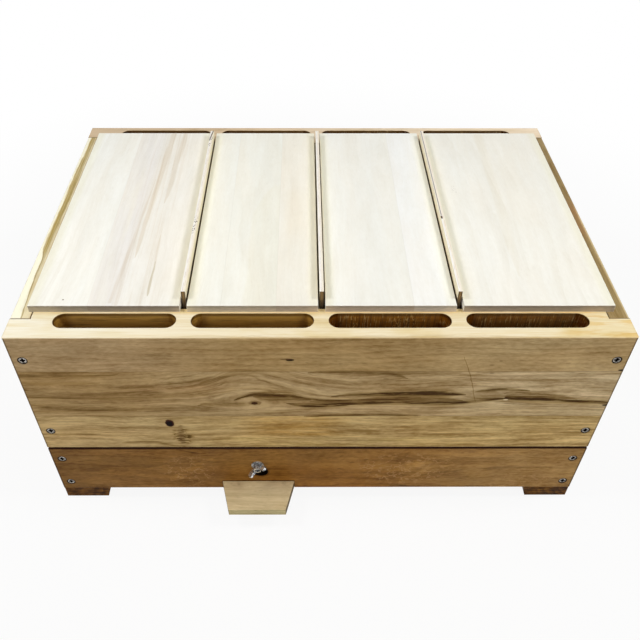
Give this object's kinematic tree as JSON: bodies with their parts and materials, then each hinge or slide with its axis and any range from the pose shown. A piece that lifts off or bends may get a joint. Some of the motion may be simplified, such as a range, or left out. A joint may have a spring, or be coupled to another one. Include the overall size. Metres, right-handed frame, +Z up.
{
  "type": "mating nuc box",
  "caption": "Wooden queen-mating hive box: lift-off covers between plywood dividers, feeder pockets milled into thick planks, hanging frames, base tray with gated entrances.",
  "frame": {"origin": "on the ground under the middle of the box", "axes": "+X to the box's right as seen from its front, +Y to its back, +Z up"},
  "size_m": [0.676, 0.476, 0.29],
  "materials": {
    "body_wood": "oiled yellow-brown hardwood, satin",
    "base_wood": "oiled reddish-brown hardwood, satin",
    "landing_wood": "pale planed board, matte",
    "cover_wood": "bare pale glued board, matte",
    "plywood": "bare birch plywood, matte",
    "frame_wood": "bare planed pine, matte",
    "wax": "beeswax sheet, soft satin",
    "zinc": "bright zinc plate"
  },
  "bodies": {
    "base": {"base_front_wall": "base_wood", "base_right_wall": "base_wood", "base_rear_wall": "base_wood", "base_left_wall": "base_wood", "floor_board": "base_wood", "left_partition": "base_wood", "centre_partition": "base_wood", "right_partition": "base_wood", "left_runner": "base_wood", "right_runner": "base_wood", "front_landing_board": "landing_wood", "right_landing_board": "landing_wood", "rear_landing_board": "landing_wood", "left_landing_board": "landing_wood", "base_front_screws": "zinc", "base_rear_screws": "zinc", "runner_screws": "zinc", "bolt_washers": "zinc"},
    "body": {"front_plank": "body_wood", "rear_plank": "body_wood", "left_wall": "body_wood", "right_wall": "body_wood", "front_plank_screws": "zinc", "rear_plank_screws": "zinc"},
    "left_divider": {"left_divider": "plywood"},
    "centre_divider": {"centre_divider": "plywood"},
    "right_divider": {"right_divider": "plywood"},
    "cover_1": {"cover_1": "cover_wood"},
    "frames_1": {"frame_top_bars_1": "frame_wood", "frame_end_bars_1": "frame_wood", "frame_bottom_bars_1": "frame_wood", "wax_sheets_1": "wax"},
    "cover_2": {"cover_2": "cover_wood"},
    "frames_2": {"frame_top_bars_2": "frame_wood", "frame_end_bars_2": "frame_wood", "frame_bottom_bars_2": "frame_wood", "wax_sheets_2": "wax"},
    "cover_3": {"cover_3": "cover_wood"},
    "frames_3": {"frame_top_bars_3": "frame_wood", "frame_end_bars_3": "frame_wood", "frame_bottom_bars_3": "frame_wood", "wax_sheets_3": "wax"},
    "cover_4": {"cover_4": "cover_wood"},
    "frames_4": {"frame_top_bars_4": "frame_wood", "frame_end_bars_4": "frame_wood", "frame_bottom_bars_4": "frame_wood", "wax_sheets_4": "wax"},
    "front_gate": {"front_gate": "plywood", "front_bolt": "zinc"},
    "front_wing_nut": {"front_wing_nut": "zinc"},
    "right_gate": {"right_gate": "plywood", "right_bolt": "zinc"},
    "right_wing_nut": {"right_wing_nut": "zinc"},
    "rear_gate": {"rear_gate": "plywood", "rear_bolt": "zinc"},
    "rear_wing_nut": {"rear_wing_nut": "zinc"},
    "left_gate": {"left_gate": "plywood", "left_bolt": "zinc"},
    "left_wing_nut": {"left_wing_nut": "zinc"}
  },
  "joints": [
    {"name": "body_lift", "type": "slide", "parent": "base", "child": "body", "axis": [0, 0, 1], "range_m": [0, 0.15]},
    {"name": "left_divider_lift", "type": "slide", "parent": "body", "child": "left_divider", "axis": [0, 0, 1], "range_m": [0, 0.16]},
    {"name": "centre_divider_lift", "type": "slide", "parent": "body", "child": "centre_divider", "axis": [0, 0, 1], "range_m": [0, 0.16]},
    {"name": "right_divider_lift", "type": "slide", "parent": "body", "child": "right_divider", "axis": [0, 0, 1], "range_m": [0, 0.16]},
    {"name": "cover_1_lift", "type": "slide", "parent": "body", "child": "cover_1", "axis": [0, 0, 1], "range_m": [0, 0.25]},
    {"name": "cover_2_lift", "type": "slide", "parent": "body", "child": "cover_2", "axis": [0, 0, 1], "range_m": [0, 0.25]},
    {"name": "cover_3_lift", "type": "slide", "parent": "body", "child": "cover_3", "axis": [0, 0, 1], "range_m": [0, 0.25]},
    {"name": "cover_4_lift", "type": "slide", "parent": "body", "child": "cover_4", "axis": [0, 0, 1], "range_m": [0, 0.25]},
    {"name": "frames_1_lift", "type": "slide", "parent": "body", "child": "frames_1", "axis": [0, 0, 1], "range_m": [0, 0.2]},
    {"name": "frames_2_lift", "type": "slide", "parent": "body", "child": "frames_2", "axis": [0, 0, 1], "range_m": [0, 0.2]},
    {"name": "frames_3_lift", "type": "slide", "parent": "body", "child": "frames_3", "axis": [0, 0, 1], "range_m": [0, 0.2]},
    {"name": "frames_4_lift", "type": "slide", "parent": "body", "child": "frames_4", "axis": [0, 0, 1], "range_m": [0, 0.2]},
    {"name": "front_gate_swing", "type": "hinge", "parent": "base", "child": "front_gate", "pos_m": [-0.0685, -0.2, 0.0665], "axis": [0, -1, 0], "range_deg": [0, 110]},
    {"name": "right_gate_swing", "type": "hinge", "parent": "base", "child": "right_gate", "pos_m": [0.3, -0.0027, 0.0665], "axis": [1, 0, 0], "range_deg": [0, 110]},
    {"name": "rear_gate_swing", "type": "hinge", "parent": "base", "child": "rear_gate", "pos_m": [0.0717, 0.2, 0.0665], "axis": [0, 1, 0], "range_deg": [0, 110]},
    {"name": "left_gate_swing", "type": "hinge", "parent": "base", "child": "left_gate", "pos_m": [-0.3, 0.0027, 0.0665], "axis": [-1, 0, 0], "range_deg": [0, 110]},
    {"name": "front_wing_nut_turn", "type": "hinge", "parent": "front_gate", "child": "front_wing_nut", "pos_m": [-0.0685, -0.2, 0.0665], "axis": [0, -1, 0], "continuous": true},
    {"name": "right_wing_nut_turn", "type": "hinge", "parent": "right_gate", "child": "right_wing_nut", "pos_m": [0.3, -0.0027, 0.0665], "axis": [1, 0, 0], "continuous": true},
    {"name": "rear_wing_nut_turn", "type": "hinge", "parent": "rear_gate", "child": "rear_wing_nut", "pos_m": [0.0717, 0.2, 0.0665], "axis": [0, 1, 0], "continuous": true},
    {"name": "left_wing_nut_turn", "type": "hinge", "parent": "left_gate", "child": "left_wing_nut", "pos_m": [-0.3, 0.0027, 0.0665], "axis": [-1, 0, 0], "continuous": true}
  ],
  "couplings": [
    {"joint": "frames_1_lift", "follows": "cover_1_lift", "ratio": 0.8},
    {"joint": "frames_2_lift", "follows": "cover_2_lift", "ratio": 0.8},
    {"joint": "frames_3_lift", "follows": "cover_3_lift", "ratio": 0.8},
    {"joint": "frames_4_lift", "follows": "cover_4_lift", "ratio": 0.8}
  ]
}
